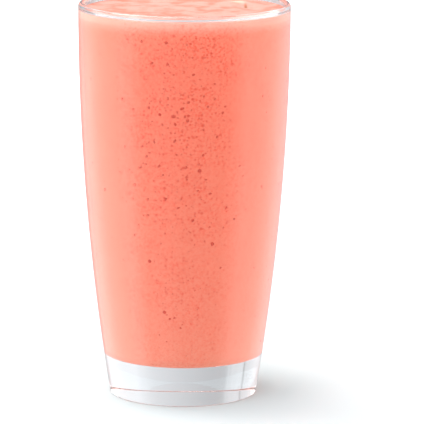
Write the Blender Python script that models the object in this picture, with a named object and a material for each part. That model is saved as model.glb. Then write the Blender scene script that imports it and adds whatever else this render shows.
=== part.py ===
"""Bahama mama cocktail: a thick blended drink in a tall clear tumbler, full almost to the rim.

Two solids are made, the pressed glass and the drink that fills it.
Units are metres and +Z is up. The origin is on the axis of the glass, on the plane it stands on.
"""

import math
import random

import bmesh
import bpy

# Driving dimensions of the glass
GLASS_HEIGHT = 0.1530
RIM_RADIUS = 0.0410
SIDE_ARC_RADIUS = 0.950
WALL_AT_RIM = 0.0020
WALL_AT_FLOOR = 0.0028
BASE_THICKNESS = 0.0152
BEAD_RADIUS = 0.00115
BEAD_END_ANGLE = math.radians(225)
INNER_CORNER_RADIUS = 0.0040
HEEL_RADIUS = 0.0004
CONTACT_WIDTH = 0.0026
PUNT_DEPTH = 0.0003

# Driving dimensions of the drink
DRINK_BELOW_RIM = 0.0030
GAP = 0.0003
MENISCUS_RISE = 0.0005
MENISCUS_REACH = 0.0012

# Relief of the froth: a slow spiral from the blender, soft lumps, one crest and the hollow beside it
SWIRL_HEIGHT = 0.00025
SWIRL_PITCH = 0.0105
LUMP_COUNT = 26
LUMP_HEIGHT = 0.00040
LUMP_SPREAD = (0.0025, 0.0055)
CREST_PLACE = (0.0205, 0.0195)
CREST_HEIGHT = 0.0014
CREST_SPREAD = (0.0046, 0.0034)
HOLLOW_PLACE = (0.0252, 0.0140)
HOLLOW_DEPTH = 0.0013
HOLLOW_SPREAD = (0.0036, 0.0026)
CALM_EDGE = 0.0050
FROTH_SEED = 5

# How finely the turned shapes are divided
SEGMENTS = 64
SIDE_STEPS = 11
BEAD_STEPS = 10
CORNER_STEPS = 5
HEEL_STEPS = 3
PUNT_STEPS = 3
SURFACE_RINGS = 16
SMOOTH_ANGLE = math.radians(40)

# Colours are linear values, alpha last
GLASS_COLOUR = (0.93, 0.96, 0.97, 1.0)
DRINK_COLOUR = (0.93, 0.24, 0.16, 1.0)

FLOOR_HEIGHT = BASE_THICKNESS
DRINK_LEVEL = GLASS_HEIGHT - DRINK_BELOW_RIM


def clear_scene():
    for obj in list(bpy.data.objects):
        bpy.data.objects.remove(obj, do_unlink=True)


def outer_radius(height):
    """The side of the glass: one arc, upright at the rim and drawing in towards the foot."""
    drop = GLASS_HEIGHT - height
    return RIM_RADIUS - SIDE_ARC_RADIUS + math.sqrt(SIDE_ARC_RADIUS ** 2 - drop ** 2)


def inner_radius(height):
    """The inside of the wall, which thickens a little on its way down."""
    depth = (GLASS_HEIGHT - height) / (GLASS_HEIGHT - FLOOR_HEIGHT)
    wall = WALL_AT_RIM + (WALL_AT_FLOOR - WALL_AT_RIM) * depth
    return outer_radius(height) - wall


def lean(radius_at, height, step=0.0005):
    """Angle between a side and the vertical at one height."""
    return math.atan2(radius_at(height + step) - radius_at(height - step), 2 * step)


def arc(centre, radius, start, end, steps):
    """Points (radius from the axis, height) along an arc, both ends included."""
    points = []
    for i in range(steps + 1):
        angle = start + (end - start) * i / steps
        points.append((centre[0] + radius * math.cos(angle), centre[1] + radius * math.sin(angle)))
    return points


def corner_centre(radius_at, floor, radius):
    """Centre of the fillet between a leaning side and a flat floor, and the angle it ends at."""
    angle = lean(radius_at, floor + radius)
    touch = floor + radius - radius * math.sin(angle)
    return (radius_at(touch) - radius * math.cos(angle), floor + radius), angle


def side(radius_at, start, end, steps):
    """Points down or up a side, both ends included."""
    points = []
    for i in range(steps + 1):
        height = start + (end - start) * i / steps
        points.append((radius_at(height), height))
    return points


def glass_profile():
    """From the axis inside, up the inner wall, over the rim, down the side and under the foot."""
    corner, corner_lean = corner_centre(inner_radius, FLOOR_HEIGHT, INNER_CORNER_RADIUS)
    floor_arc = arc(corner, INNER_CORNER_RADIUS, -math.pi / 2, -corner_lean, CORNER_STEPS)
    bead_centre = (RIM_RADIUS - BEAD_RADIUS, GLASS_HEIGHT - BEAD_RADIUS)
    bead = arc(bead_centre, BEAD_RADIUS, BEAD_END_ANGLE, 0.0, BEAD_STEPS)
    bead_foot = bead[0][1] - BEAD_RADIUS
    inner_wall = side(inner_radius, floor_arc[-1][1], bead_foot, SIDE_STEPS)
    heel, heel_lean = corner_centre(outer_radius, 0.0, HEEL_RADIUS)
    heel_arc = arc(heel, HEEL_RADIUS, -heel_lean, -math.pi / 2, HEEL_STEPS)
    outer_wall = side(outer_radius, bead[-1][1], heel_arc[0][1], SIDE_STEPS)
    punt_radius = heel[0] - CONTACT_WIDTH
    punt = []
    for i in range(PUNT_STEPS + 1):
        share = 1 - i / PUNT_STEPS
        punt.append((punt_radius * share, PUNT_DEPTH * (1 - share ** 2)))
    floor = [(0.0, FLOOR_HEIGHT), (corner[0] / 2, FLOOR_HEIGHT)]
    return floor + floor_arc + inner_wall[1:] + bead + outer_wall[1:] + heel_arc[1:] + punt


def drink_side(height):
    return inner_radius(height) - GAP


def drink_profile():
    """From the axis below, up the wall of the drink and back to the axis along its surface."""
    corner, corner_lean = corner_centre(inner_radius, FLOOR_HEIGHT, INNER_CORNER_RADIUS)
    corner_arc = arc(corner, INNER_CORNER_RADIUS - GAP, -math.pi / 2, -corner_lean, CORNER_STEPS)
    wall = side(drink_side, corner_arc[-1][1], DRINK_LEVEL, SIDE_STEPS)
    surface = []
    for i in range(1, SURFACE_RINGS + 1):
        share = math.cos(math.pi / 2 * i / SURFACE_RINGS)
        surface.append((drink_side(DRINK_LEVEL) * share, DRINK_LEVEL))
    surface[-1] = (0.0, DRINK_LEVEL)
    floor = [(0.0, FLOOR_HEIGHT + GAP), (corner[0] / 2, FLOOR_HEIGHT + GAP)]
    return floor + corner_arc + wall[1:] + surface


def mound(x, y, place, spread):
    """A smooth rise of height 1 at one place."""
    across = (x - place[0]) / spread[0]
    along = (y - place[1]) / spread[1]
    return math.exp(-0.5 * (across ** 2 + along ** 2))


def scatter_lumps():
    """Places, spreads and heights of the soft lumps, evenly spread over the surface."""
    draw = random.Random(FROTH_SEED)
    reach = drink_side(DRINK_LEVEL) - CALM_EDGE
    lumps = []
    for _ in range(LUMP_COUNT):
        radius = reach * math.sqrt(draw.random())
        angle = draw.uniform(0, 2 * math.pi)
        spread = draw.uniform(*LUMP_SPREAD)
        height = LUMP_HEIGHT * draw.uniform(-1, 1)
        lumps.append(((radius * math.cos(angle), radius * math.sin(angle)), (spread, spread), height))
    return lumps


def froth_relief(x, y, lumps):
    """Height of the froth above the level of the drink."""
    radius = math.hypot(x, y)
    from_wall = max(0.0, drink_side(DRINK_LEVEL) - radius)
    calm = 1 - math.exp(-from_wall / CALM_EDGE)
    swirl = SWIRL_HEIGHT * math.sin(2 * math.pi * radius / SWIRL_PITCH + math.atan2(y, x))
    swirl *= min(1.0, radius / SWIRL_PITCH)
    height = swirl + sum(size * mound(x, y, place, spread) for place, spread, size in lumps)
    height += CREST_HEIGHT * mound(x, y, CREST_PLACE, CREST_SPREAD)
    height -= HOLLOW_DEPTH * mound(x, y, HOLLOW_PLACE, HOLLOW_SPREAD)
    return calm * height + MENISCUS_RISE * math.exp(-from_wall / MENISCUS_REACH)


def turn(name, profile):
    """Spin a profile round the Z axis into a closed body. Its first and last points are on the axis."""
    bm = bmesh.new()
    verts = [bm.verts.new((radius, 0.0, height)) for radius, height in profile]
    edges = [bm.edges.new(pair) for pair in zip(verts, verts[1:])]
    bmesh.ops.spin(bm, geom=verts + edges, axis=(0, 0, 1), cent=(0, 0, 0),
                   angle=2 * math.pi, steps=SEGMENTS, use_merge=True)
    bmesh.ops.remove_doubles(bm, verts=bm.verts, dist=0.000005)
    bmesh.ops.recalc_face_normals(bm, faces=bm.faces)
    mesh = bpy.data.meshes.new(name)
    bm.to_mesh(mesh)
    bm.free()
    obj = bpy.data.objects.new(name, mesh)
    bpy.context.collection.objects.link(obj)
    return obj


def shade_round(obj):
    obj.data.shade_smooth()
    obj.data.set_sharp_from_angle(angle=SMOOTH_ANGLE)


def glass_material():
    material = bpy.data.materials.new("clear_glass")
    material.use_nodes = True
    shader = material.node_tree.nodes["Principled BSDF"]
    shader.inputs["Base Color"].default_value = GLASS_COLOUR
    shader.inputs["Roughness"].default_value = 0.03
    shader.inputs["Metallic"].default_value = 0.0
    shader.inputs["IOR"].default_value = 1.5
    shader.inputs["Transmission Weight"].default_value = 1.0
    return material


def drink_material():
    material = bpy.data.materials.new("blended_drink")
    material.use_nodes = True
    shader = material.node_tree.nodes["Principled BSDF"]
    shader.inputs["Base Color"].default_value = DRINK_COLOUR
    shader.inputs["Roughness"].default_value = 0.4
    shader.inputs["Metallic"].default_value = 0.0
    return material


def make_glass():
    glass = turn("glass", glass_profile())
    glass.data.materials.append(glass_material())
    shade_round(glass)


def make_drink():
    drink = turn("drink", drink_profile())
    lumps = scatter_lumps()
    for vertex in drink.data.vertices:
        if vertex.co.z > DRINK_LEVEL - GAP:
            vertex.co.z += froth_relief(vertex.co.x, vertex.co.y, lumps)
    drink.data.materials.append(drink_material())
    shade_round(drink)


clear_scene()
make_glass()
make_drink()
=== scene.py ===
import math
import random

import bmesh
import bpy
from mathutils import Matrix, Quaternion, Vector


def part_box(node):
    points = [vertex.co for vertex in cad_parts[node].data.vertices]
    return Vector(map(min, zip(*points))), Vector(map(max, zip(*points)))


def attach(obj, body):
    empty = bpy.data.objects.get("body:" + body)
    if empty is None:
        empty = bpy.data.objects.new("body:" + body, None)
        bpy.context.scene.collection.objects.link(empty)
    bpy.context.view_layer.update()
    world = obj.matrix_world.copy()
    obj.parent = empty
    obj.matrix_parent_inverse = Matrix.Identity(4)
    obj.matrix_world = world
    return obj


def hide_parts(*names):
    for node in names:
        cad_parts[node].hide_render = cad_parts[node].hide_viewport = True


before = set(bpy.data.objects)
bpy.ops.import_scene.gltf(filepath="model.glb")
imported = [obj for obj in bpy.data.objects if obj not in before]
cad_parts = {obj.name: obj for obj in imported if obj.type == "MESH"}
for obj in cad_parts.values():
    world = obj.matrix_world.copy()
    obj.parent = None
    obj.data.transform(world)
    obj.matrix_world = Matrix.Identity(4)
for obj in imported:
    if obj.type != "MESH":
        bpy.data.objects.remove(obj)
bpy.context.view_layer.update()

GLASS_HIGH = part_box("glass")[1]
DRINK_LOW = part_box("drink")[0]

# The glass, in metres. Its height, rim and floor come from the frame.
GLASS_HEIGHT = GLASS_HIGH.z
RIM_RADIUS = GLASS_HIGH.x
SIDE_ARC_RADIUS = 0.950
WALL_AT_RIM = 0.0020
WALL_AT_FLOOR = 0.0028
BEAD_RADIUS = 0.00115
BEAD_END_ANGLE = math.radians(225)
INNER_CORNER_RADIUS = 0.0040
HEEL_RADIUS = 0.0004
CONTACT_WIDTH = 0.0026
PUNT_DEPTH = 0.0003

# The drink. It reaches a little into the wall, so that no air gap shows.
GAP = 0.0003
FLOOR_HEIGHT = DRINK_LOW.z - GAP
DRINK_BELOW_RIM = 0.0030
DRINK_LEVEL = GLASS_HEIGHT - DRINK_BELOW_RIM
INTO_WALL = 0.00008
MENISCUS_RISE = 0.0005
MENISCUS_REACH = 0.0012

# Relief of the froth: a slow spiral from the blender, soft lumps, one crest and the hollow beside it
FROTH_SEED = 5
SWIRL_HEIGHT = 0.00025
SWIRL_PITCH = 0.0105
LUMP_COUNT = 26
LUMP_HEIGHT = 0.00040
LUMP_SPREAD = (0.0025, 0.0055)
CREST_PLACE = (0.0205, 0.0195)
CREST_HEIGHT = 0.0014
CREST_SPREAD = (0.0046, 0.0034)
HOLLOW_PLACE = (0.0252, 0.0140)
HOLLOW_DEPTH = 0.0013
HOLLOW_SPREAD = (0.0036, 0.0026)
CALM_EDGE = 0.0050
# A painted shadow in the dark seam between the crest and the hollow, which is only coloured
SEAM_SHADOW_PLACE = (0.0238, 0.0150)
SEAM_SHADOW_SPREAD = (0.0009, 0.0040)

# Flecks of fruit that lie against the glass. They gather in upright bands, given by the middle and the
# half width in degrees, and are densest at one height. Shares say how crowded they are between the bands
# and at the floor, and the last of these values how fast they thin out above that height.
FLECK_BANDS = ((-4, 25), (95, 22), (172, 30), (-105, 26))
FLECKS_BETWEEN_BANDS = 0.10
DENSEST_HEIGHT = 0.127
FLECKS_AT_FLOOR = 0.10
FLECKS_THIN_ABOVE = 2.5
FLECK_COUNT = 1500
FLECK_RADIUS = (0.00018, 0.00075)
FLECK_SIZE_POWER = 1.8
FLECK_THICKNESS = 0.00012
FLECK_SEED = 11
# The largest flecks on the photographed side: degrees to the right of the front, height and radius in mm
LARGE_FLECKS = ((9, 94, 0.85), (-6, 115, 0.85), (-22, 58, 0.75), (18, 65, 0.8), (-18, 135, 0.7),
                (22, 116, 0.6), (-10, 143, 0.75), (5, 131, 0.6), (-11, 83, 0.6), (11, 100, 0.6),
                (-20, 118, 0.6), (26, 79, 0.6), (-5, 112, 0.6), (-13, 38, 0.75), (34, 95, 0.5))
# How dark a fleck is, from 0 like the drink round it to 1 like the darkest fruit, and its blotches
LARGE_FLECK_TONE = 0.72
FLECK_TONES = (0.3, 0.8)
BLOTCHES_PER_METRE = 900.0

# Colours are linear values. Those of the side and the flecks are without the glass, which deepens them.
GLASS_COLOUR = (0.985, 0.992, 1.0)
BODY_COLOUR = (0.965, 0.26, 0.155)
# Paler low down: painted light, which stands in for light from below
LOW_PAINTED_LIGHT_COLOUR = (0.965, 0.31, 0.20)
# Paler band at the top of the side: partly froth, partly painted light that enters through the top
FROTH_AND_TOP_LIGHT_COLOUR = (0.965, 0.41, 0.31)
# The top of the froth is darker than the froth at the side: painted shade, which offsets the strong light
# from above. Its patches are darker streaks of its own.
SURFACE_SHADED_COLOUR = (0.43, 0.205, 0.165)
SURFACE_PATCH_COLOUR = (0.40, 0.13, 0.09)
# Painted highlight on the crest of the froth
CREST_HIGHLIGHT_COLOUR = (0.46, 0.36, 0.28)
# Painted shadow in the seam beside the crest
SEAM_SHADOW_COLOUR = (0.20, 0.09, 0.045)
UNDERSIDE_COLOUR = (0.74, 0.64, 0.63)
GRAIN_COLOUR = (0.945, 0.14, 0.07)
SPECK_COLOUR = (0.80, 0.065, 0.028)
FLECK_COLOUR = (0.58, 0.03, 0.012)

# Where the drink's colours lie. Heights and sizes are in metres, and shares are of the full colour.
# Depth of that paler band of froth and painted light
FROTH_AND_TOP_LIGHT_DEPTH = 0.0050
# Heights between which the painted light low down fades out
LOW_PAINTED_LIGHT_HEIGHTS = (0.015, 0.115)
PATCH_SIZE = 0.0085
STREAK_LEVELS = (0.42, 0.62)
# Strength of the painted highlight on the crest, then of the painted shadow in the seam
CREST_HIGHLIGHT_SHARE = 0.8
SEAM_SHADOW_SHARE = 0.9
GRAIN_SIZE = 0.0010
GRAIN_LEVELS = (0.30, 0.58)
SIDE_GRAIN = 0.9
SURFACE_GRAIN = 0.5
UNDERSIDE_GRAIN = 0.2
# Grain and specks thin out downwards, between the bands and in the froth, and lie in patches. A band's
# edges are shares of its half width. Levels are the noise values that a colour fades between.
THINNING_HEIGHTS = (0.015, 0.125)
GRAIN_LOW_DOWN = 0.45
GRAIN_IN_FROTH = 0.3
GRAIN_BETWEEN_BANDS = 0.35
BAND_EDGES = (2.1, 0.3)
CROWD_SIZE = 0.012
CROWD_LEVELS = (0.35, 0.65)
CROWDED_SHARES = (0.5, 1.15)
# Each kind of soft speck: size of the cells that hold one, largest radius, share of cells used, strength
SPECK_KINDS = ((0.0034, 0.00095, 0.40, 1.0), (0.0021, 0.00070, 0.55, 0.9), (0.0014, 0.00050, 0.60, 0.7))

# How finely the turned shapes are divided
GLASS_SEGMENTS = 192
DRINK_SEGMENTS = 192
SIDE_STEPS = 48
BEAD_STEPS = 20
CORNER_STEPS = 12
HEEL_STEPS = 8
PUNT_STEPS = 12
SURFACE_RINGS = 72

# The camera, from the ellipses of the rim and the foot in the photo
FRAME_PIXELS = 424
CAMERA_DISTANCE = 1.350
CAMERA_HEIGHT = 0.3347
FOCAL_PIXELS = 3534
SENSOR_WIDTH = 36.0
AXIS_PIXEL = (183.2, 197.8)
CAMERA_ROLL = math.radians(0.33)

# The studio. The table lies a hair below the foot, so that the two faces don't coincide.
TABLE_GAP = 0.0001
TABLE_REACH = 6.0
# The table's own colour lights the drink. The camera sees it near the glass, round it and far from it in
# colours that fade into each other between two pairs of distances. The darker, cooler colours near and
# round the glass are a painted shadow, and their cool tint cancels the pink light that the drink throws
# on the table.
TABLE_COLOUR = (0.42, 0.43, 0.44)
TABLE_SEEN_NEAR_SHADOW = (0.525, 0.62, 0.63)
TABLE_SEEN_ROUND_SHADOW = (0.64, 0.685, 0.685)
TABLE_SEEN_FAR = (1.3, 1.3, 1.3)
TABLE_SHADOW_FADES = ((0.022, 0.070), (0.15, 1.0))
# Soft boxes. The one above casts the shadow, and those at the sides light only the drink and its glass.
LIGHT_AIM = (0, 0, 0.08)
BOX_ABOVE_PLACE = (-0.33, 0.24, 1.10)
BOX_ABOVE_SIZE = (0.80, 0.80)
BOX_ABOVE_RADIANCE = 7.9
BOX_ABOVE_FADE = 0.3
SIDE_BOXES = (("soft_box_left", (-0.85, -0.15, 0.55), 3.7), ("soft_box_right", (0.85, -0.05, 0.55), 4.7))
SIDE_BOX_SIZE = (1.7, 1.0)
SIDE_BOX_FADE = 0.5
ROOM_TINT = (0.93, 0.967, 1.0)
# A rise is the upward part of a direction of length 1.
# White reflectors at both sides, below the table's level, which lighten the sides of the glass.
# They start and end by degrees from straight behind the glass. The left one is the brighter.
GLOW_RADIANCE = (1.85, 1.2)
GLOW_START = (8, 58)
GLOW_END = (100, 140)
GLOW_RISE = (-0.19, -0.07)
# In front of the glass the backdrop is brighter high up and dimmer low down, so that the base isn't lost
# in white when it is seen from behind.
FRONT_START = (100, 125)
FRONT_RISE = (0.26, 0.45)
FRONT_SHARE = (0.68, 1.65)
# The ceiling, and the same light straight below, fade in as the direction steepens.
CEILING_RISE = (0.40, 0.62)
CEILING_RADIANCE = 0.95
# Brightness of the backdrop, by degrees to the right of straight behind the glass
BACKDROP = ((-180, 1.22), (-150, 1.78), (-120, 1.95), (-100, 0.75), (-60, 0.76), (-46, 0.70), (-41, 0.68),
            (-39.5, 0.38), (-38, 0.72), (-34, 0.76), (-31, 0.72), (-28.5, 0.74), (-26.5, 0.66),
            (-25, 0.68), (-23.5, 0.54), (-20, 0.53), (-9, 0.60), (0, 0.67), (12, 0.76), (24, 0.85),
            (27, 0.92), (60, 0.88), (100, 0.75), (125, 1.05), (180, 1.20))


def outer_radius(height):
    """The side of the glass: one arc, upright at the rim and drawing in towards the foot."""
    drop = GLASS_HEIGHT - height
    return RIM_RADIUS - SIDE_ARC_RADIUS + math.sqrt(SIDE_ARC_RADIUS ** 2 - drop ** 2)


def inner_radius(height):
    """The inside of the wall, which thickens a little on its way down."""
    depth = (GLASS_HEIGHT - height) / (GLASS_HEIGHT - FLOOR_HEIGHT)
    wall = WALL_AT_RIM + (WALL_AT_FLOOR - WALL_AT_RIM) * depth
    return outer_radius(height) - wall


def drink_side(height):
    """The drink's own side in the frame."""
    return inner_radius(height) - GAP


def drink_in_wall(height):
    """The side of the drink as it is shown, reaching a little into the wall."""
    return inner_radius(height) + INTO_WALL


def lean(radius_at, height, step=0.0005):
    """Angle between a side and the vertical at one height."""
    return math.atan2(radius_at(height + step) - radius_at(height - step), 2 * step)


def arc(centre, radius, start, end, steps):
    """Points (radius from the axis, height) along an arc, both ends included."""
    points = []
    for i in range(steps + 1):
        angle = start + (end - start) * i / steps
        points.append((centre[0] + radius * math.cos(angle), centre[1] + radius * math.sin(angle)))
    return points


def corner_centre(radius_at, floor, radius):
    """Centre of the fillet between a leaning side and a flat floor, and the angle it ends at."""
    angle = lean(radius_at, floor + radius)
    touch = floor + radius - radius * math.sin(angle)
    return (radius_at(touch) - radius * math.cos(angle), floor + radius), angle


def side(radius_at, start, end, steps):
    """Points down or up a side, both ends included."""
    points = []
    for i in range(steps + 1):
        height = start + (end - start) * i / steps
        points.append((radius_at(height), height))
    return points


def glass_profile():
    """From the axis inside, up the inner wall, over the rim, down the side and under the foot."""
    corner, corner_lean = corner_centre(inner_radius, FLOOR_HEIGHT, INNER_CORNER_RADIUS)
    floor_arc = arc(corner, INNER_CORNER_RADIUS, -math.pi / 2, -corner_lean, CORNER_STEPS)
    bead_centre = (RIM_RADIUS - BEAD_RADIUS, GLASS_HEIGHT - BEAD_RADIUS)
    bead = arc(bead_centre, BEAD_RADIUS, BEAD_END_ANGLE, 0.0, BEAD_STEPS)
    bead_foot = bead[0][1] - BEAD_RADIUS
    inner_wall = side(inner_radius, floor_arc[-1][1], bead_foot, SIDE_STEPS)
    heel, heel_lean = corner_centre(outer_radius, 0.0, HEEL_RADIUS)
    heel_arc = arc(heel, HEEL_RADIUS, -heel_lean, -math.pi / 2, HEEL_STEPS)
    outer_wall = side(outer_radius, bead[-1][1], heel_arc[0][1], SIDE_STEPS)
    punt_radius = heel[0] - CONTACT_WIDTH
    punt = []
    for i in range(PUNT_STEPS + 1):
        share = 1 - i / PUNT_STEPS
        punt.append((punt_radius * share, PUNT_DEPTH * (1 - share ** 2)))
    floor = [(0.0, FLOOR_HEIGHT), (corner[0] / 2, FLOOR_HEIGHT)]
    return floor + floor_arc + inner_wall[1:] + bead + outer_wall[1:] + heel_arc[1:] + punt


def drink_profile():
    """From the axis below, up the wall of the drink and back to the axis along its surface."""
    corner, corner_lean = corner_centre(inner_radius, FLOOR_HEIGHT, INNER_CORNER_RADIUS)
    corner_arc = arc(corner, INNER_CORNER_RADIUS + INTO_WALL, -math.pi / 2, -corner_lean, CORNER_STEPS)
    wall = side(drink_in_wall, corner_arc[-1][1], DRINK_LEVEL, SIDE_STEPS)
    surface = []
    for i in range(1, SURFACE_RINGS + 1):
        share = math.cos(math.pi / 2 * i / SURFACE_RINGS)
        surface.append((drink_in_wall(DRINK_LEVEL) * share, DRINK_LEVEL))
    surface[-1] = (0.0, DRINK_LEVEL)
    floor = [(0.0, FLOOR_HEIGHT - INTO_WALL), (corner[0] / 2, FLOOR_HEIGHT - INTO_WALL)]
    return floor + corner_arc + wall[1:] + surface


def mound(x, y, place, spread):
    """A smooth rise of height 1 at one place."""
    across = (x - place[0]) / spread[0]
    along = (y - place[1]) / spread[1]
    return math.exp(-0.5 * (across ** 2 + along ** 2))


def scatter_lumps():
    """Places, spreads and heights of the soft lumps, evenly spread over the surface."""
    draw = random.Random(FROTH_SEED)
    reach = drink_side(DRINK_LEVEL) - CALM_EDGE
    lumps = []
    for _ in range(LUMP_COUNT):
        radius = reach * math.sqrt(draw.random())
        angle = draw.uniform(0, 2 * math.pi)
        spread = draw.uniform(*LUMP_SPREAD)
        height = LUMP_HEIGHT * draw.uniform(-1, 1)
        lumps.append(((radius * math.cos(angle), radius * math.sin(angle)), (spread, spread), height))
    return lumps


def froth_relief(x, y, lumps):
    """Height of the froth above the level of the drink."""
    radius = math.hypot(x, y)
    from_wall = max(0.0, drink_side(DRINK_LEVEL) - radius)
    calm = 1 - math.exp(-from_wall / CALM_EDGE)
    swirl = SWIRL_HEIGHT * math.sin(2 * math.pi * radius / SWIRL_PITCH + math.atan2(y, x))
    swirl *= min(1.0, radius / SWIRL_PITCH)
    height = swirl + sum(size * mound(x, y, place, spread) for place, spread, size in lumps)
    height += CREST_HEIGHT * mound(x, y, CREST_PLACE, CREST_SPREAD)
    height -= HOLLOW_DEPTH * mound(x, y, HOLLOW_PLACE, HOLLOW_SPREAD)
    return calm * height + MENISCUS_RISE * math.exp(-from_wall / MENISCUS_REACH)


def new_object(name, bm):
    mesh = bpy.data.meshes.new(name)
    bm.to_mesh(mesh)
    bm.free()
    mesh.shade_smooth()
    obj = bpy.data.objects.new(name, mesh)
    bpy.context.scene.collection.objects.link(obj)
    return obj


def turn(name, profile, segments):
    """Spin a profile round the Z axis into a closed body. Its first and last points are on the axis."""
    bm = bmesh.new()
    verts = [bm.verts.new((radius, 0.0, height)) for radius, height in profile]
    edges = [bm.edges.new(pair) for pair in zip(verts, verts[1:])]
    bmesh.ops.spin(bm, geom=verts + edges, axis=(0, 0, 1), cent=(0, 0, 0),
                   angle=2 * math.pi, steps=segments, use_merge=True)
    bmesh.ops.remove_doubles(bm, verts=bm.verts, dist=0.000002)
    bmesh.ops.recalc_face_normals(bm, faces=bm.faces)
    return new_object(name, bm)


def new_material(name):
    material = bpy.data.materials.new(name)
    material.use_nodes = True
    tree = material.node_tree
    return material, tree, tree.nodes["Principled BSDF"]


def add(tree, kind, **settings):
    node = tree.nodes.new(kind)
    for name, value in settings.items():
        setattr(node, name, value)
    return node


def plug(tree, socket, value):
    """Give a socket a number, a colour or another node's output."""
    if hasattr(value, "links"):
        tree.links.new(value, socket)
    elif isinstance(value, tuple):
        socket.default_value = (*value, 1.0)
    else:
        socket.default_value = value


def math_node(tree, operation, first, second=0.0):
    node = add(tree, "ShaderNodeMath", operation=operation)
    plug(tree, node.inputs[0], first)
    plug(tree, node.inputs[1], second)
    return node.outputs[0]


def map_range(tree, value, low, high, to_low, to_high, smooth=False):
    node = add(tree, "ShaderNodeMapRange")
    node.interpolation_type = "SMOOTHSTEP" if smooth else "LINEAR"
    for name, number in (("From Min", low), ("From Max", high), ("To Min", to_low), ("To Max", to_high)):
        plug(tree, node.inputs[name], number)
    plug(tree, node.inputs["Value"], value)
    return node.outputs[0]


def mix_colour(tree, share, first, second, blend="MIX"):
    """A Mix node for colours. The share is a number or an output, and so is each colour."""
    node = add(tree, "ShaderNodeMix", data_type="RGBA", blend_type=blend)
    sockets = (node.inputs["Factor"], node.inputs[6], node.inputs[7])
    for socket, value in zip(sockets, (share, first, second)):
        plug(tree, socket, value)
    return node.outputs[2]


def noise_texture(tree, place, scale, detail=2.0, roughness=0.5):
    node = add(tree, "ShaderNodeTexNoise")
    plug(tree, node.inputs["Vector"], place)
    node.inputs["Scale"].default_value = scale
    node.inputs["Detail"].default_value = detail
    node.inputs["Roughness"].default_value = roughness
    return node.outputs["Fac"]


def grey(tree, value):
    """A grey colour from a number."""
    node = add(tree, "ShaderNodeCombineColor")
    for socket in node.inputs:
        plug(tree, socket, value)
    return node.outputs[0]


def specks(tree, place, cell, largest, share, strongest):
    """Soft round specks on a surface, one at most in each cell, with the share of cells that hold one.
    Sizes are in metres. The result is 0 between specks and greatest at the heart of the darkest."""
    cells = add(tree, "ShaderNodeTexVoronoi", voronoi_dimensions="2D")
    plug(tree, cells.inputs["Vector"], place)
    cells.inputs["Scale"].default_value = 1 / cell
    split = add(tree, "ShaderNodeSeparateColor")
    plug(tree, split.inputs[0], cells.outputs["Color"])
    size = map_range(tree, split.outputs[0], 1 - share, 1.0, 0.5 * largest / cell, largest / cell)
    heart = math_node(tree, "MULTIPLY", size, 0.2)
    near = map_range(tree, cells.outputs["Distance"], heart, size, 1.0, 0.0, True)
    strength = map_range(tree, split.outputs[1], 0.0, 1.0, 0.2 * strongest, strongest)
    held = math_node(tree, "GREATER_THAN", split.outputs[0], 1 - share)
    return math_node(tree, "MULTIPLY", math_node(tree, "MULTIPLY", near, strength), held)


def crowding(tree, place):
    """How crowded grain and specks are round the drink: most in mid band, and in patches."""
    flat = add(tree, "ShaderNodeVectorMath", operation="MULTIPLY")
    plug(tree, flat.inputs[0], place)
    flat.inputs[1].default_value = (1.0, 1.0, 0.0)
    outward = add(tree, "ShaderNodeVectorMath", operation="NORMALIZE")
    plug(tree, outward.inputs[0], flat.outputs[0])
    crowded = GRAIN_BETWEEN_BANDS
    for middle, half_width in FLECK_BANDS:
        toward = add(tree, "ShaderNodeVectorMath", operation="DOT_PRODUCT")
        plug(tree, toward.inputs[0], outward.outputs[0])
        angle = math.radians(middle)
        toward.inputs[1].default_value = (math.sin(angle), -math.cos(angle), 0.0)
        edges = [math.cos(math.radians(half_width * share)) for share in BAND_EDGES]
        band = map_range(tree, toward.outputs["Value"], *edges, 0.0, 1.0, True)
        crowded = math_node(tree, "MAXIMUM", crowded, band)
    patches = noise_texture(tree, place, 1 / CROWD_SIZE)
    return math_node(tree, "MULTIPLY", crowded, map_range(tree, patches, *CROWD_LEVELS, *CROWDED_SHARES))


def clear_glass():
    material, tree, shader = new_material("clear_glass")
    shader.inputs["Base Color"].default_value = (*GLASS_COLOUR, 1.0)
    shader.inputs["Roughness"].default_value = 0.0
    shader.inputs["IOR"].default_value = 1.5
    shader.inputs["Transmission Weight"].default_value = 1.0
    return material


def unrolled(tree, split):
    """Places on the side of the drink, unrolled to a flat sheet: distance round it, and height."""
    inward = math_node(tree, "MULTIPLY", split.outputs[1], -1.0)
    turned = math_node(tree, "ARCTAN2", split.outputs[0], inward)
    sheet = add(tree, "ShaderNodeCombineXYZ")
    plug(tree, sheet.inputs[0], math_node(tree, "MULTIPLY", turned, drink_in_wall(GLASS_HEIGHT / 2)))
    plug(tree, sheet.inputs[1], split.outputs[2])
    return sheet.outputs[0]


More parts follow.
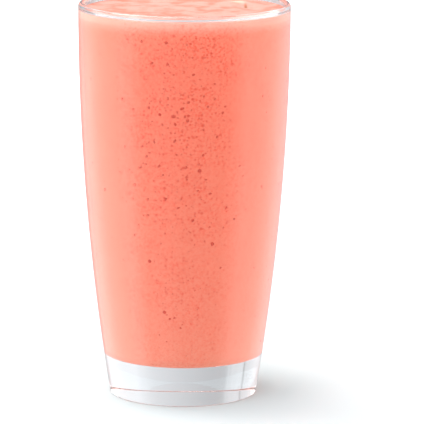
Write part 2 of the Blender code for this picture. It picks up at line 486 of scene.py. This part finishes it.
def drink_colour(tree, body, froth_with_painted_light, grain_share, on_side=True):
    """Colour of the drink: paler at the top, partly froth and partly painted light from the top, paler
    low down by painted light, grained, with darker specks.
    The specks lie flat on the unrolled side, or on a level face where on_side is false."""
    place = add(tree, "ShaderNodeTexCoord").outputs["Object"]
    split = add(tree, "ShaderNodeSeparateXYZ")
    plug(tree, split.inputs[0], place)
    height = split.outputs[2]
    sheet = unrolled(tree, split) if on_side else place
    # Paler top band: partly froth, partly painted light from the top
    froth_and_top_light_share = map_range(tree, height, DRINK_LEVEL - FROTH_AND_TOP_LIGHT_DEPTH, DRINK_LEVEL, 0.0, 1.0)
    # Paler low down: painted light
    depth = map_range(tree, height, *LOW_PAINTED_LIGHT_HEIGHTS, 1.0, 0.0)
    colour = mix_colour(tree, froth_and_top_light_share, mix_colour(tree, depth, body, LOW_PAINTED_LIGHT_COLOUR), froth_with_painted_light)
    grain = noise_texture(tree, place, 1 / GRAIN_SIZE, 2.0, 0.6)
    in_froth = map_range(tree, froth_and_top_light_share, 0.0, 0.7, 1.0, GRAIN_IN_FROTH)
    upwards = map_range(tree, height, *THINNING_HEIGHTS, GRAIN_LOW_DOWN, 1.0)
    thinning = math_node(tree, "MULTIPLY", upwards, in_froth)
    thinning = math_node(tree, "MULTIPLY", thinning, crowding(tree, place))
    grained = map_range(tree, grain, *GRAIN_LEVELS, grain_share, 0.0)
    colour = mix_colour(tree, math_node(tree, "MULTIPLY", grained, thinning), colour, GRAIN_COLOUR)
    for cell, largest, share, strongest in SPECK_KINDS:
        mask = math_node(tree, "MULTIPLY", specks(tree, sheet, cell, largest, share, strongest), thinning)
        colour = mix_colour(tree, mask, colour, SPECK_COLOUR)
    return colour


def drink_against_glass():
    material, tree, shader = new_material("drink_against_glass")
    plug(tree, shader.inputs["Base Color"], drink_colour(tree, BODY_COLOUR, FROTH_AND_TOP_LIGHT_COLOUR, SIDE_GRAIN))
    shader.inputs["Roughness"].default_value = 0.6
    shader.inputs["Specular IOR Level"].default_value = 0.1
    return material


def spot_share(tree, place, middle, spread, strongest):
    """How strongly one soft oval spot of the surface takes a colour of its own: here the painted
    highlight on the crest and the painted shadow in the seam.
    """
    from_middle = add(tree, "ShaderNodeVectorMath", operation="SUBTRACT")
    plug(tree, from_middle.inputs[0], place)
    from_middle.inputs[1].default_value = (*middle, DRINK_LEVEL)
    scaled = add(tree, "ShaderNodeVectorMath", operation="DIVIDE")
    plug(tree, scaled.inputs[0], from_middle.outputs[0])
    scaled.inputs[1].default_value = (*spread, 1.0)
    away = add(tree, "ShaderNodeVectorMath", operation="LENGTH")
    plug(tree, away.inputs[0], scaled.outputs[0])
    return map_range(tree, away.outputs["Value"], 0.3, 1.0, strongest, 0.0, True)


def drink_surface():
    material, tree, shader = new_material("drink_surface")
    place = add(tree, "ShaderNodeTexCoord").outputs["Object"]
    patches = noise_texture(tree, place, 1 / PATCH_SIZE, 3.0, 0.6)
    streaks = map_range(tree, patches, *STREAK_LEVELS, 0.0, 1.0, True)
    # Top of the froth in painted shade, darker than at the side, with streaks
    froth_with_painted_light = mix_colour(tree, streaks, SURFACE_SHADED_COLOUR, SURFACE_PATCH_COLOUR)
    # A painted highlight on the crest, and a painted shadow in the seam beside it
    on_crest_highlight = spot_share(tree, place, CREST_PLACE, CREST_SPREAD, CREST_HIGHLIGHT_SHARE)
    in_seam_shadow = spot_share(tree, place, SEAM_SHADOW_PLACE, SEAM_SHADOW_SPREAD, SEAM_SHADOW_SHARE)
    surface = mix_colour(tree, in_seam_shadow, mix_colour(tree, on_crest_highlight, froth_with_painted_light, CREST_HIGHLIGHT_COLOUR), SEAM_SHADOW_COLOUR)
    plug(tree, shader.inputs["Base Color"], drink_colour(tree, surface, surface, SURFACE_GRAIN, False))
    shader.inputs["Roughness"].default_value = 0.6
    shader.inputs["Specular IOR Level"].default_value = 0.15
    return material


def drink_underside():
    """The bottom of the drink, which the thick base of the glass shows edge on, so that it shines."""
    material, tree, shader = new_material("drink_underside")
    colour = drink_colour(tree, UNDERSIDE_COLOUR, FROTH_AND_TOP_LIGHT_COLOUR, UNDERSIDE_GRAIN, False)
    plug(tree, shader.inputs["Base Color"], colour)
    shader.inputs["Roughness"].default_value = 0.08
    shader.inputs["Specular IOR Level"].default_value = 0.9
    return material


def fruit_fleck():
    material, tree, shader = new_material("fruit_fleck")
    place = add(tree, "ShaderNodeTexCoord").outputs["Object"]
    blotch = noise_texture(tree, place, BLOTCHES_PER_METRE)
    tone = add(tree, "ShaderNodeAttribute", attribute_name="tone").outputs["Fac"]
    dark = mix_colour(tree, blotch, FLECK_COLOUR, SPECK_COLOUR)
    plug(tree, shader.inputs["Base Color"], mix_colour(tree, tone, BODY_COLOUR, dark))
    shader.inputs["Roughness"].default_value = 0.6
    shader.inputs["Specular IOR Level"].default_value = 0.1
    return material


def make_glass():
    glass = turn("tumbler", glass_profile(), GLASS_SEGMENTS)
    glass.data.materials.append(clear_glass())
    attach(glass, "root")
    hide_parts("glass")
    return glass


def make_drink():
    drink = turn("blended_drink", drink_profile(), DRINK_SEGMENTS)
    lumps = scatter_lumps()
    for vertex in drink.data.vertices:
        if vertex.co.z > DRINK_LEVEL - GAP:
            vertex.co.z += froth_relief(vertex.co.x, vertex.co.y, lumps)
    for material in (drink_against_glass(), drink_surface(), drink_underside()):
        drink.data.materials.append(material)
    for face in drink.data.polygons:
        if face.center.z > DRINK_LEVEL - 2 * HOLLOW_DEPTH and face.normal.z > 0.3:
            face.material_index = 1
        elif face.normal.z < -0.9:
            face.material_index = 2
    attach(drink, "root")
    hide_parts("drink")
    return drink


def fleck_crowding(degrees_right, height):
    """How crowded the flecks are at one place: most in the bands and at the densest height."""
    band = FLECKS_BETWEEN_BANDS
    for middle, half_width in FLECK_BANDS:
        away = (degrees_right - middle + 180) % 360 - 180
        band = max(band, math.exp(-(away / half_width) ** 2))
    rise = (height - FLOOR_HEIGHT) / (DENSEST_HEIGHT - FLOOR_HEIGHT)
    if rise < 1:
        return band * (FLECKS_AT_FLOOR + (1 - FLECKS_AT_FLOOR) * rise ** 1.5)
    return band * (1 - FLECKS_THIN_ABOVE * (rise - 1))


def add_fleck(bm, tone_layer, degrees_right, height, radius, tone, draw):
    """One flattened, slightly uneven blob, half sunk in the side of the drink."""
    angle = math.radians(degrees_right)
    outward = Vector((math.sin(angle), -math.cos(angle), math.sin(-lean(drink_in_wall, height))))
    place = Vector((math.sin(angle), -math.cos(angle), 0)) * drink_in_wall(height)
    place.z = height
    turned = outward.to_track_quat("Z", "Y").to_matrix().to_4x4()
    stretch = draw.uniform(0.75, 1.3)
    thickness = min(radius * 0.5, FLECK_THICKNESS)
    size = Matrix.Diagonal((radius * stretch, radius / stretch, thickness, 1.0))
    spin = Matrix.Rotation(draw.uniform(0, math.pi), 4, "Z")
    made = bmesh.ops.create_icosphere(bm, subdivisions=1, radius=1.0,
                                      matrix=Matrix.Translation(place) @ turned @ spin @ size)
    for vertex in made["verts"]:
        vertex.co += (vertex.co - place) * draw.uniform(-0.15, 0.15)
        vertex[tone_layer] = tone


def make_flecks():
    """The large flecks where the photo shows them, then many small ones by the crowding rule."""
    draw = random.Random(FLECK_SEED)
    bm = bmesh.new()
    tone_layer = bm.verts.layers.float.new("tone")
    for degrees_right, height, radius in LARGE_FLECKS:
        add_fleck(bm, tone_layer, degrees_right, height / 1000, radius / 1000, LARGE_FLECK_TONE, draw)
    made = 0
    low, high = FLECK_RADIUS
    while made < FLECK_COUNT:
        degrees_right = draw.uniform(-180, 180)
        height = draw.uniform(FLOOR_HEIGHT + INNER_CORNER_RADIUS, DRINK_LEVEL - FROTH_AND_TOP_LIGHT_DEPTH)
        if draw.random() > fleck_crowding(degrees_right, height):
            continue
        rarest = 1 - (low / high) ** FLECK_SIZE_POWER
        radius = low * (1 - draw.random() * rarest) ** (-1 / FLECK_SIZE_POWER)
        add_fleck(bm, tone_layer, degrees_right, height, radius, draw.uniform(*FLECK_TONES), draw)
        made += 1
    flecks = new_object("fruit_flecks", bm)
    flecks.data.materials.append(fruit_fleck())
    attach(flecks, "root")
    return flecks


def soft_box(name, place, size, radiance, fade):
    """A large soft light, brightest in its middle. Its power follows from its size and radiance."""
    width, height = size
    light = bpy.data.lights.new(name, "AREA")
    light.shape = "RECTANGLE"
    light.size = width
    light.size_y = height
    light.energy = radiance * math.pi * width * height
    light.use_nodes = True
    tree = light.node_tree
    across = add(tree, "ShaderNodeSeparateXYZ")
    plug(tree, across.inputs[0], add(tree, "ShaderNodeNewGeometry").outputs["Parametric"])
    strength = 1.0
    for axis in (0, 1):
        wave = math_node(tree, "SINE", math_node(tree, "MULTIPLY", across.outputs[axis], math.pi))
        strength = math_node(tree, "MULTIPLY", strength, math_node(tree, "POWER", wave, fade))
    plug(tree, tree.nodes["Emission"].inputs["Strength"], strength)
    obj = bpy.data.objects.new(name, light)
    obj.location = place
    obj.rotation_mode = "QUATERNION"
    obj.rotation_quaternion = (Vector(LIGHT_AIM) - Vector(place)).to_track_quat("-Z", "Y")
    bpy.context.scene.collection.objects.link(obj)
    obj.visible_camera = False
    return obj


def make_lights(lit):
    """One light above, and one at each side that lights only the pieces given."""
    soft_box("soft_box_above", BOX_ABOVE_PLACE, BOX_ABOVE_SIZE, BOX_ABOVE_RADIANCE, BOX_ABOVE_FADE)
    group = bpy.data.collections.new("lit_from_the_sides")
    for piece in lit:
        group.objects.link(piece)
    for name, place, radiance in SIDE_BOXES:
        box = soft_box(name, place, SIDE_BOX_SIZE, radiance, SIDE_BOX_FADE)
        box.light_linking.receiver_collection = group


def fade_by_turn(tree, sideways, turns, start, end):
    """A soft step between two turns, in degrees from straight behind the glass."""
    return map_range(tree, sideways, *(math.radians(turn) for turn in turns), start, end, True)


def backdrop(tree, turned):
    """The backdrop all round the glass, as one ramp."""
    ramp = add(tree, "ShaderNodeValToRGB")
    plug(tree, ramp.inputs[0], map_range(tree, turned, -math.pi, math.pi, 0.0, 1.0))
    stops = ramp.color_ramp.elements
    while len(stops) < len(BACKDROP):
        stops.new(0.5)
    for stop, (degrees_right, radiance) in zip(stops, BACKDROP):
        stop.position = (degrees_right + 180) / 360
        stop.color = (*(radiance * tint for tint in ROOM_TINT), 1.0)
    return ramp.outputs[0]


def side_glow(tree, direction, sideways):
    """The white reflectors at both sides."""
    bright = map_range(tree, math_node(tree, "SIGN", direction.outputs[0]), -1.0, 1.0, *GLOW_RADIANCE)
    rise = fade_by_turn(tree, sideways, GLOW_START, 0.0, bright)
    fall = fade_by_turn(tree, sideways, GLOW_END, 1.0, 0.0)
    below = map_range(tree, direction.outputs[2], *GLOW_RISE, 1.0, 0.0, True)
    return math_node(tree, "MULTIPLY", math_node(tree, "MULTIPLY", rise, fall), below)


def make_world():
    """A grey and white studio, which the glass shows, and plain white where the camera sees it."""
    world = bpy.data.worlds.new("studio")
    bpy.context.scene.world = world
    world.use_nodes = True
    tree = world.node_tree
    direction = add(tree, "ShaderNodeSeparateXYZ")
    plug(tree, direction.inputs[0], add(tree, "ShaderNodeTexCoord").outputs["Generated"])
    turned = math_node(tree, "ARCTAN2", direction.outputs[0], direction.outputs[1])
    sideways = math_node(tree, "ABSOLUTE", turned)
    around = backdrop(tree, turned)
    in_front = fade_by_turn(tree, sideways, FRONT_START, 0.0, 1.0)
    raised = map_range(tree, direction.outputs[2], *FRONT_RISE, *FRONT_SHARE, True)
    front = mix_colour(tree, 1.0, around, grey(tree, raised), "MULTIPLY")
    lit = mix_colour(tree, in_front, around, front)
    lit = mix_colour(tree, 1.0, lit, grey(tree, side_glow(tree, direction, sideways)), "ADD")
    steep = math_node(tree, "ABSOLUTE", direction.outputs[2])
    ceiling = map_range(tree, steep, *CEILING_RISE, 0.0, CEILING_RADIANCE, True)
    lit = mix_colour(tree, 1.0, lit, grey(tree, ceiling), "LIGHTEN")
    seen = add(tree, "ShaderNodeLightPath").outputs["Is Camera Ray"]
    white = (1.0, 1.0, 1.0)
    plug(tree, tree.nodes["Background"].inputs["Color"], mix_colour(tree, seen, lit, white))


def make_floor():
    """The table. The glass shows the studio alone, so it neither mirrors nor bends the table."""
    mesh = bpy.data.meshes.new("studio_table")
    ends = ((-1, -1), (1, -1), (1, 1), (-1, 1))
    corners = [(TABLE_REACH * x, TABLE_REACH * y, -TABLE_GAP) for x, y in ends]
    mesh.from_pydata(corners, [], [(0, 1, 2, 3)])
    floor = bpy.data.objects.new("studio_table", mesh)
    bpy.context.scene.collection.objects.link(floor)
    material, tree, shader = new_material("pale_table")
    tree.nodes.remove(shader)
    matt = add(tree, "ShaderNodeBsdfDiffuse")
    away = add(tree, "ShaderNodeVectorMath", operation="LENGTH")
    plug(tree, away.inputs[0], add(tree, "ShaderNodeTexCoord").outputs["Object"])
    # As the camera sees it, the table is darker near the glass: a painted shadow, fading out with
    # distance
    shown_with_painted_shadow = TABLE_SEEN_NEAR_SHADOW
    for fade, brighter in zip(TABLE_SHADOW_FADES, (TABLE_SEEN_ROUND_SHADOW, TABLE_SEEN_FAR)):
        share = map_range(tree, away.outputs["Value"], *fade, 0.0, 1.0, True)
        shown_with_painted_shadow = mix_colour(tree, share, shown_with_painted_shadow, brighter)
    seen = add(tree, "ShaderNodeLightPath").outputs["Is Camera Ray"]
    plug(tree, matt.inputs["Color"], mix_colour(tree, seen, TABLE_COLOUR, shown_with_painted_shadow))
    plug(tree, tree.nodes["Material Output"].inputs["Surface"], matt.outputs[0])
    mesh.materials.append(material)
    floor.visible_glossy = False
    floor.visible_transmission = False


def make_camera():
    camera_data = bpy.data.cameras.new("camera")
    camera_data.sensor_width = SENSOR_WIDTH
    camera_data.lens = SENSOR_WIDTH * FOCAL_PIXELS / FRAME_PIXELS
    camera_data.clip_start = 0.05
    camera_data.clip_end = 50
    camera = bpy.data.objects.new("camera", camera_data)
    bpy.context.scene.collection.objects.link(camera)
    bpy.context.scene.camera = camera
    camera.location = (0, -CAMERA_DISTANCE, CAMERA_HEIGHT)
    middle = FRAME_PIXELS / 2
    pitch = math.atan2(CAMERA_HEIGHT - GLASS_HEIGHT / 2, CAMERA_DISTANCE)
    pitch += (middle - AXIS_PIXEL[1]) / FOCAL_PIXELS
    yaw = (middle - AXIS_PIXEL[0]) / FOCAL_PIXELS
    look = Vector((math.sin(yaw) * math.cos(pitch), math.cos(yaw) * math.cos(pitch), -math.sin(pitch)))
    camera.rotation_mode = "QUATERNION"
    camera.rotation_quaternion = look.to_track_quat("-Z", "Y") @ Quaternion((0, 0, 1), CAMERA_ROLL)


bpy.context.scene.view_settings.view_transform = "Standard"
make_camera()
make_world()
make_floor()
make_lights([make_glass(), make_drink(), make_flecks()])
